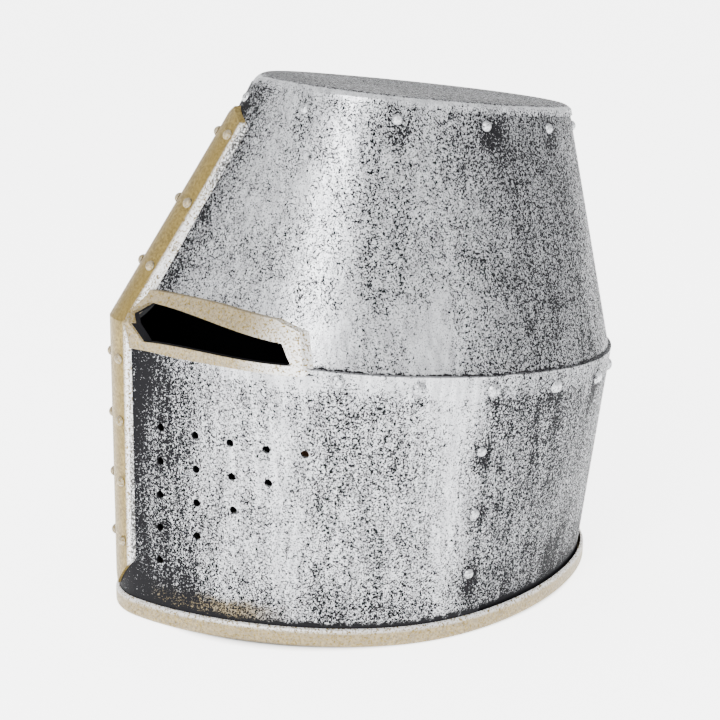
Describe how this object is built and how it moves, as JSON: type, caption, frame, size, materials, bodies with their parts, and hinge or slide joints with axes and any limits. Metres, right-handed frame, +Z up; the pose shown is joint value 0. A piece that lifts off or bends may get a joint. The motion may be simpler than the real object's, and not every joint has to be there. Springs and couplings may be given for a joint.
{
  "type": "great helm",
  "caption": "Crusader great helm of riveted plates with flat crown, keeled front, eye slits, breaths, brass cross and rim, quilted liner and buckled chin straps",
  "frame": {"origin": "on the ground, under the middle of the helm's length and width", "axes": "+Z up, the sights and keel face -Y, the wearer's left is +X"},
  "size_m": [0.242, 0.2981, 0.2944],
  "materials": {
    "helm_steel": "silver brushed and spattered over black, worn bright on edges",
    "gilt_brass": "dull pale gilt, fine grain",
    "rivet_steel": "bright worn heads",
    "liner_leather": "dark brown vegetable-tanned, satin",
    "quilted_linen": "dark natural linen, quilted",
    "buckle_steel": "forged, blackened and rubbed",
    "fitting_brass": "satin brass",
    "strap_leather": "brown strap leather, satin, burnished edges"
  },
  "bodies": {
    "helm": {"crown_plate": "helm_steel", "upper_front_plate": "helm_steel", "upper_rear_plate": "helm_steel", "lower_front_plate": "helm_steel", "lower_rear_plate": "helm_steel", "rim_binding": "gilt_brass", "cross_bar": "gilt_brass", "left_sight_border": "gilt_brass", "right_sight_border": "gilt_brass", "crown_rivets": "rivet_steel", "waist_rivets": "rivet_steel", "left_seam_rivets": "rivet_steel", "right_seam_rivets": "rivet_steel", "cross_rivets": "gilt_brass", "liner_top_band": "liner_leather", "left_quilted_liner": "quilted_linen", "right_quilted_liner": "quilted_linen", "crown_pad": "quilted_linen", "left_front_sweatband": "liner_leather", "left_side_sweatband": "liner_leather", "left_rear_sweatband": "liner_leather", "right_front_sweatband": "liner_leather", "right_side_sweatband": "liner_leather", "right_rear_sweatband": "liner_leather", "left_strap_hanger": "buckle_steel", "right_strap_hanger": "buckle_steel", "left_hanger_rivets": "fitting_brass", "right_hanger_rivets": "fitting_brass", "left_strap_pivot": "fitting_brass", "right_strap_pivot": "fitting_brass"},
    "left_strap": {"left_chin_strap": "strap_leather", "left_strap_eyelet": "fitting_brass", "strap_keeper": "strap_leather"},
    "right_strap": {"right_chin_strap": "strap_leather", "right_strap_eyelet": "fitting_brass"},
    "buckle": {"buckle_frame": "buckle_steel"},
    "prong": {"buckle_prong": "buckle_steel"}
  },
  "joints": [
    {"name": "left_strap_swing", "type": "hinge", "parent": "helm", "child": "left_strap", "pos_m": [0.08752, -0.002, 0.168], "axis": [1, 0, 0], "range_deg": [-15, 15]},
    {"name": "right_strap_swing", "type": "hinge", "parent": "helm", "child": "right_strap", "pos_m": [-0.08752, -0.002, 0.168], "axis": [1, 0, 0], "range_deg": [-15, 15]},
    {"name": "buckle_swing", "type": "hinge", "parent": "left_strap", "child": "buckle", "pos_m": [0.08642, -0.002, 0.052], "axis": [0, 1, 0], "range_deg": [-10, 60]},
    {"name": "prong_swing", "type": "hinge", "parent": "buckle", "child": "prong", "pos_m": [0.08642, -0.002, 0.052], "axis": [0, 1, 0], "range_deg": [0, 70]}
  ]
}
